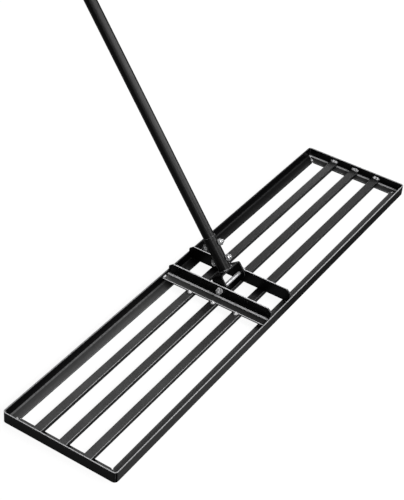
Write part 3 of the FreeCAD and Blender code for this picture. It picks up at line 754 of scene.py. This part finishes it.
def corner_welds():
    """Two tacks on each mitre of the frame, one beside the relief and one near the root of the corner, with a
    thin bead between them. The left corners have smaller tacks."""
    parts = []
    for number, (x_way, y_way) in enumerate(((-1, -1), (-1, 1), (1, -1), (1, 1))):
        corner = np.array([(HALF_LENGTH - RAIL_LEG) * x_way, (HALF_DEPTH - RAIL_LEG) * y_way, RAIL_WALL])
        out = np.array([x_way, y_way, 0.0])
        size = LEFT_TACK_SHARE if x_way < 0 else 1.0
        reach, width, height = INNER_TACK
        parts.append(tack(corner + out * reach, width * size, height, 40 + number))
        reach, width, height = OUTER_TACK
        parts.append(tack(corner + out * reach, width * size, height * size, 50 + number))
        seam = straight(corner + out * SEAM_START, corner + out * SEAM_END)
        side_a, side_b = unit((-y_way, x_way, SEAM_SLOPE)), unit((y_way, -x_way, SEAM_SLOPE))
        parts.append(bead(seam, side_a, side_b, **SEAM_BEAD, seed=60 + number))
    return parts


def cross_welds():
    """Tacks where the cross angles' lying legs cross the bars, and beads at their ends on the long rails."""
    parts = []
    for way in (-1, 1):
        edge = CROSS_EDGE * way
        for number, middle in enumerate(BAR_MIDDLES):
            start = (edge, middle - CROSS_BEAD_HALF, BAR_TOP)
            end = (edge, middle + CROSS_BEAD_HALF, BAR_TOP)
            seed = 70 + 2 * number + way
            parts.append(bead(straight(start, end), (way, 0, 0), UP, **CROSS_BEAD, seed=seed))
        for y_way in (-1, 1):
            wall = (HALF_DEPTH - RAIL_WALL) * y_way
            top = BAR_TOP + CROSS_WALL
            start = ((CROSS_EDGE - RAIL_BEAD_START) * way, wall, top)
            end = ((CROSS_EDGE - RAIL_BEAD_END) * way, wall, top)
            seed = 80 + y_way + way
            parts.append(bead(straight(start, end), (0, -y_way, 0), UP, **RAIL_BEAD, seed=seed))
    return parts


def socket_weld():
    """The bead round the foot of the socket tube."""
    angle = full_turn(SOCKET_BEAD_POINTS)
    out = np.stack([np.cos(angle), np.sin(angle), np.zeros_like(angle)], -1)
    path = out * SOCKET_RADIUS + np.array([0, 0, WEB_REACH])
    return on_handle([bead(path, out, UP, **SOCKET_BEAD, seed=91)])


def pivot_bolt_parts():
    """The pivot bolt, its head on the right and its thread on the left, and its nut."""
    bearing = CROSS_FACE + CROSS_WALL + WASHER
    axes = [(0, 0, 1), (0, 1, 0), (-1, 0, 0)]
    place = (bearing, PIVOT[1], PIVOT[2])
    rod = moved(bolt(BOLT, bearing * 2, bearing * 2 - PIVOT_THREAD), axes, place)
    return rod, moved(nut(BOLT, bearing * 2), axes, place)


def across_handle(sizes, heights, radius):
    """Bolts and nuts through a tube of the handle, turned about it, heads behind and nuts in front."""
    rods, nuts = [], []
    across = np.array([-math.sin(BOLT_TURN), math.cos(BOLT_TURN), 0.0])
    axes = [(math.cos(BOLT_TURN), math.sin(BOLT_TURN), 0), (0, 0, 1), -across]
    for height in heights:
        place = across * radius + np.array([0, 0, height])
        rods += moved(bolt(sizes, radius * 2, radius * 2 - HANDLE_THREAD), axes, place)
        nuts += moved(nut(sizes, radius * 2), axes, place)
    return on_handle(rods), on_handle(nuts)


def grip_parts():
    """The hand grip, a hollow sleeve with a closed end. Its radius is the sleeve's, raised to the collar's by
    a smooth step at the lower end, less a ring groove each pitch, and less a cosine round it for the flutes
    between the grooves. The collar's rim and the closed end fall off as quarter circles."""
    bottom = HANDLE_LENGTH - GRIP_LENGTH
    height = np.linspace(bottom, HANDLE_LENGTH, GRIP_ROWS)
    run = height - bottom
    collar = 1 - smooth_step(COLLAR_LENGTH - COLLAR_ROUNDING, COLLAR_LENGTH + COLLAR_ROUNDING, run)
    radius = GRIP_RADIUS + (COLLAR_RADIUS - GRIP_RADIUS) * collar
    lip = np.clip(1 - run / COLLAR_ROUNDING, 0, 1)
    radius = radius - COLLAR_ROUNDING * (1 - np.sqrt(1 - lip**2))
    ribs = (run - RIB_START) / RIB_PITCH
    inside = smooth_step(*RIBS_FADE_IN, run) * (1 - smooth_step(*RIBS_FADE_OUT, run))
    groove = smooth_step(*GROOVE_EDGE_SHARES, np.abs((ribs % 1.0) - 0.5) * 2)
    radius = radius - GROOVE_DEPTH * groove * inside
    dome = np.clip(1 - (HANDLE_LENGTH - height) / GRIP_DOME, 0, 1)
    radius = radius - GRIP_DOME * (1 - np.sqrt(1 - dome**2))
    flutes = FLUTE_DEPTH * (1 - groove) * inside
    flute_wave = 0.5 + 0.5 * np.cos(full_turn(GRIP_SIDES) * FLUTES)
    radius = radius[:, None] - flutes[:, None] * flute_wave[None, :]
    inner = np.full((2, GRIP_SIDES), GRIP_BORE)
    radius = np.vstack([inner, radius, np.full((1, GRIP_SIDES), GRIP_TIP_RADIUS)])
    height = np.concatenate([[HANDLE_LENGTH - GRIP_CAP, bottom], height, [HANDLE_LENGTH]])
    return on_handle([skin(turned(radius, height))])


def make_pieces():
    """The welds, which are new, and the fasteners and the grip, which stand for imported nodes."""
    put("bar_end_welds", bar_welds(), "frame", WELD_PAINT)
    put("corner_welds", corner_welds(), "frame", WELD_PAINT)
    put("cross_angle_welds", cross_welds(), "frame", TACK_PAINT)
    put("socket_weld", socket_weld(), "handle", YOKE_WELD_PAINT)
    rods, nuts = pivot_bolt_parts()
    put("pivot_bolt_threaded", rods, "frame", BOLT_ZINC, stands_for=["pivot_bolt"])
    put("pivot_nut_chamfered", nuts, "frame", NUT_ZINC, stands_for=["pivot_nut"])
    rods, nuts = across_handle(BOLT, SOCKET_BOLTS, SOCKET_RADIUS)
    put("socket_bolts_threaded", rods, "handle", ZINC, stands_for=["socket_bolts"])
    put("socket_nuts_chamfered", nuts, "handle", ZINC, stands_for=["socket_nuts"])
    rods, nuts = across_handle(JOINT_BOLT, JOINT_BOLTS, TUBE_RADIUS)
    put("joint_bolts_threaded", rods, "handle", ZINC, stands_for=["joint_bolts"])
    put("joint_nuts_chamfered", nuts, "handle", ZINC, stands_for=["joint_nuts"])
    put("grip_ribbed", grip_parts(), "handle", RUBBER, stands_for=["hand_grip"])


# Studio

FLOOR_SHARE, WORLD_SHARE = 0.10, 0.03  # how much of the white that the camera sees reaches a reflection
FLOOR_REACH, FLOOR_DROP = 30.0, 0.0004
FLOOR_GREY = (0.16, 0.16, 0.16, 1)
FLOOR_GLOW = 0.905
GLOW_NEAR, GLOW_FAR = 1.2, 3.5
WORLD_WHITE = (1, 1, 1, 1)
AMBIENT = 0.02


def white_to_camera(tree, share):
    """1 for what the camera sees, straight or through glass, and a share of that for a reflection."""
    path = tree.nodes.new("ShaderNodeLightPath")
    seen = math_node(tree, "MAXIMUM", path.outputs["Is Camera Ray"], path.outputs["Is Transmission Ray"])
    glossy = math_node(tree, "MULTIPLY", path.outputs["Is Glossy Ray"], share)
    return math_node(tree, "MAXIMUM", seen, glossy)


def make_floor():
    """A plain pale floor just under the frame. To the camera it glows almost to white near the object, so
    that its shadow shows there, and to white farther out, where the lamps don't reach."""
    mesh = bpy.data.meshes.new("floor")
    signs = ((-1, -1), (1, -1), (1, 1), (-1, 1))
    mesh.from_pydata([(x * FLOOR_REACH, y * FLOOR_REACH, -FLOOR_DROP) for x, y in signs], [], [(0, 1, 2, 3)])
    floor = bpy.data.objects.new("floor", mesh)
    bpy.context.scene.collection.objects.link(floor)
    material = bpy.data.materials.new("pale_floor")
    material.use_nodes = True
    tree = material.node_tree
    tree.nodes.clear()
    lit = tree.nodes.new("ShaderNodeBsdfDiffuse")
    lit.inputs["Color"].default_value = FLOOR_GREY
    glow = tree.nodes.new("ShaderNodeEmission")
    away = tree.nodes.new("ShaderNodeVectorMath")
    away.operation = "LENGTH"
    link(tree, object_coordinates(tree), away.inputs[0])
    level = stretch(tree, away.outputs["Value"], GLOW_NEAR, GLOW_FAR, FLOOR_GLOW, 1.0)
    seen = math_node(tree, "MULTIPLY", white_to_camera(tree, FLOOR_SHARE), level)
    link(tree, seen, glow.inputs["Strength"])
    both = tree.nodes.new("ShaderNodeAddShader")
    link(tree, lit.outputs[0], both.inputs[0])
    link(tree, glow.outputs[0], both.inputs[1])
    out = tree.nodes.new("ShaderNodeOutputMaterial")
    link(tree, both.outputs[0], out.inputs["Surface"])
    mesh.materials.append(material)


def make_world():
    """White to the camera, and a faint even light from all round."""
    world = bpy.data.worlds.new("studio")
    world.use_nodes = True
    tree = world.node_tree
    background = tree.nodes["Background"]
    background.inputs["Color"].default_value = WORLD_WHITE
    seen = white_to_camera(tree, WORLD_SHARE)
    link(tree, math_node(tree, "MAXIMUM", seen, AMBIENT), background.inputs["Strength"])
    bpy.context.scene.world = world


def stand(item, right, up, back, place):
    """A lamp or camera in its place, with its own X, Y and Z along right, up and back."""
    matrix = np.eye(4)
    matrix[:3] = np.column_stack([right, up, back, place])
    item.matrix_world = Matrix(matrix.tolist())
    bpy.context.scene.collection.objects.link(item)


# Soft square lamps: the place, what the lamp is aimed at, the length of its side, and its radiance
HANDLE_AIM, FRAME_AIM = (0, 0.4, 0.6), (0, 0, 0.05)
LAMPS = {
    "side_far_left": ((-1.3, -1.4, 1.5), HANDLE_AIM, 1.0, 2.6),
    "side_left": ((-0.4, -1.7, 1.7), HANDLE_AIM, 1.05, 4.4),
    "side_middle": ((0.5, -1.75, 1.5), HANDLE_AIM, 1.05, 5.0),
    "side_right": ((1.45, -1.35, 1.2), HANDLE_AIM, 1.1, 5.0),
    "front_left": ((-1.4, -2.6, 1.1), FRAME_AIM, 1.0, 4.0),
    "front_right": ((1.6, -2.6, 1.1), FRAME_AIM, 1.0, 1.2),
    "left": ((-2.9, -1.0, 1.1), FRAME_AIM, 1.0, 2.1),
    "right": ((2.9, 1.5, 1.1), FRAME_AIM, 1.0, 4.0),
    "top_rear_right": ((1.6, 1.5, 2.2), FRAME_AIM, 1.0, 3.8),
    "top_middle": ((0.6, 0.5, 2.2), FRAME_AIM, 1.0, 2.6),
    "top_rear": ((0.6, 1.5, 2.2), FRAME_AIM, 1.0, 1.1),
    "top_right": ((2.6, 0.5, 2.2), FRAME_AIM, 1.0, 1.6),
}


def make_lamps():
    """Each lamp's power is its radiance times pi times its area."""
    for name, (place, target, size, radiance) in LAMPS.items():
        lamp = bpy.data.lights.new(f"{name}_lamp", "AREA")
        lamp.shape = "SQUARE"
        lamp.size = size
        lamp.energy = radiance * math.pi * size * size
        forward = unit(np.asarray(target, float) - np.asarray(place, float))
        right = unit(np.cross(forward, UP))
        up = np.cross(right, forward)
        stand(bpy.data.objects.new(f"{name}_lamp", lamp), right, up, -forward, place)


# Camera, fitted to the frame's corners, bars and cross angles in the picture. The sensor's size is along the
# picture's height, its longer side.
CAMERA_PLACE = (-1.8697, -0.9953, 1.6953)
CAMERA_AZIMUTH = math.radians(-60.288)
CAMERA_ELEVATION = math.radians(36.933)
CAMERA_ROLL = math.radians(5.470)
CAMERA_CLIP = (0.05, 100)
FOCAL_PIXELS = 1303.65
PICTURE_HEIGHT = 500
SENSOR = 36.0


def make_camera():
    camera = bpy.data.cameras.new("camera")
    camera.sensor_width = SENSOR
    camera.lens = FOCAL_PIXELS * SENSOR / PICTURE_HEIGHT
    camera.clip_start, camera.clip_end = CAMERA_CLIP
    a, e, r = CAMERA_AZIMUTH, CAMERA_ELEVATION, CAMERA_ROLL
    right = np.array([math.cos(a), math.sin(a), 0])
    back = np.array([math.sin(a) * math.cos(e), -math.cos(a) * math.cos(e), math.sin(e)])
    up = np.cross(back, right)
    rolled_right = math.cos(r) * right + math.sin(r) * up
    rolled_up = -math.sin(r) * right + math.cos(r) * up
    item = bpy.data.objects.new("camera", camera)
    stand(item, rolled_right, rolled_up, back, CAMERA_PLACE)
    bpy.context.scene.camera = item


dress_nodes()
make_pieces()
make_floor()
make_world()
make_lamps()
make_camera()
bpy.context.scene.view_settings.view_transform = "Standard"
